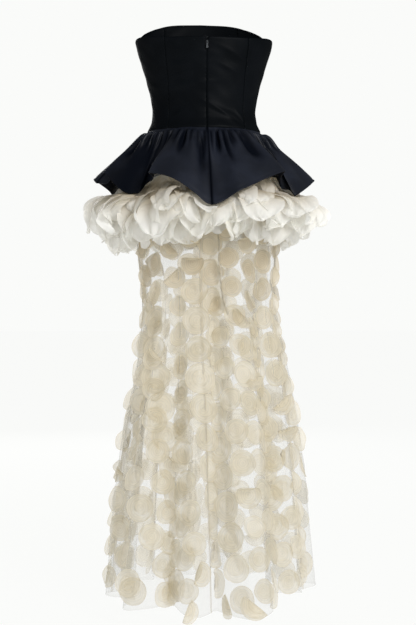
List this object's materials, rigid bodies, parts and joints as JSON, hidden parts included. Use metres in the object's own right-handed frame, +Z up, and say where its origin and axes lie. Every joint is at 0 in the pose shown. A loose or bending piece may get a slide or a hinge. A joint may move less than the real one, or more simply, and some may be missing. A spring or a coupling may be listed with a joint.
{
  "type": "strapless gown",
  "caption": "Strapless gown: boned-look fitted bodice with a back zip, gathered dipping peplum, puffed petal rows and a long sheer folded skirt with round appliques.",
  "frame": {"origin": "centre of the gown's waist, on its vertical axis", "axes": "+Z up to the neckline, -Y towards the back with the zip, +X towards the wearer's right"},
  "size_m": [0.5484, 0.4776, 1.283],
  "materials": {
    "bodice_cloth": "matt black crepe with a faint blue cast",
    "peplum_cloth": "matt blue-black crepe",
    "petal_organza": "crumpled ivory silk organza",
    "disc_mesh": "sheer ivory tulle with organza discs",
    "zip_metal": "dark satin metal"
  },
  "bodies": {
    "gown": {"bodice_front": "bodice_cloth", "bodice_side_left": "bodice_cloth", "bodice_side_right": "bodice_cloth", "bodice_back_left": "bodice_cloth", "bodice_back_right": "bodice_cloth", "peplum_front": "peplum_cloth", "peplum_back_left": "peplum_cloth", "peplum_back_right": "peplum_cloth", "petals_upper": "petal_organza", "petals_lower": "petal_organza", "skirt_front": "disc_mesh", "skirt_back_left": "disc_mesh", "skirt_back_right": "disc_mesh", "zip_slider": "zip_metal", "neck_hook": "zip_metal", "neck_eye": "zip_metal"},
    "pull_tab": {"zip_pull": "zip_metal"}
  },
  "joints": [
    {"name": "pull_tab_hinge", "type": "hinge", "parent": "gown", "child": "pull_tab", "pos_m": [0, -0.1025, 0.13487], "axis": [-1, 0, 0], "range_deg": [0, 108]}
  ]
}
